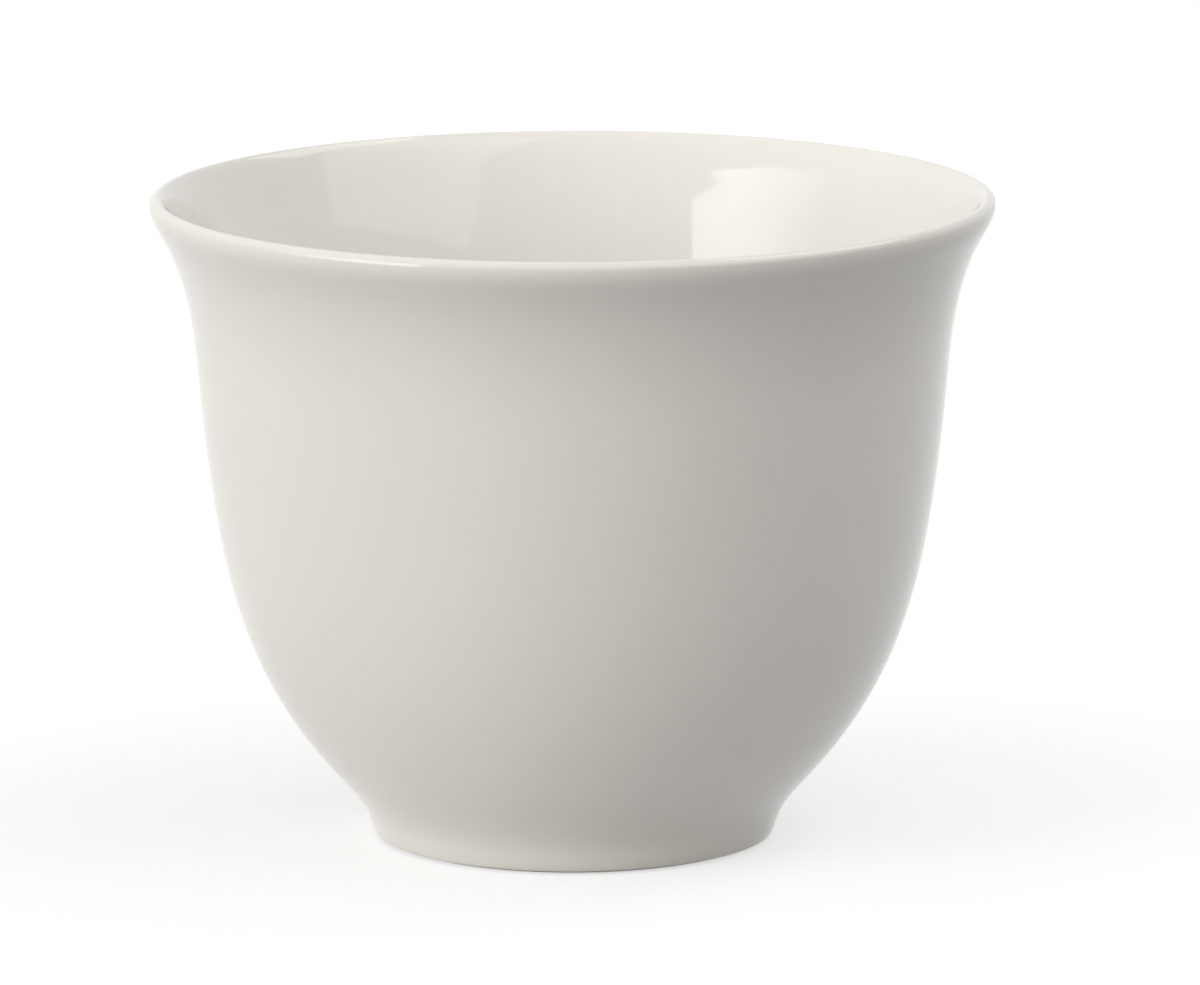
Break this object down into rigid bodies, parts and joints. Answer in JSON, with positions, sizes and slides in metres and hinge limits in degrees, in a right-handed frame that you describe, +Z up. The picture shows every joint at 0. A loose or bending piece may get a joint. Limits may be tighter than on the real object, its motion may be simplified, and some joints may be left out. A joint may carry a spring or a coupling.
{
  "type": "arabic coffee cup",
  "caption": "Small handle-less coffee cup of glazed porcelain, with a deep bowl, flared lip and narrow foot ring, held by the lip and foot to drink hot coffee.",
  "frame": {"origin": "centre of the standing face, on the table", "axes": "+Z up along the cup's axis; X and Y across the rim, alike because the cup is round"},
  "size_m": [0.07, 0.07, 0.054],
  "materials": {
    "bisque": "unglazed fired porcelain, fine matt, ground smooth on the standing face",
    "coat_glaze": "warm white glossy glaze over inside, lip and outside",
    "base_glaze": "warm white glossy glaze, slightly pooled at the edge of the recess"
  },
  "bodies": {
    "root": {"porcelain_body": "bisque", "glaze_coat": "coat_glaze", "base_glaze": "base_glaze"}
  },
  "joints": []
}
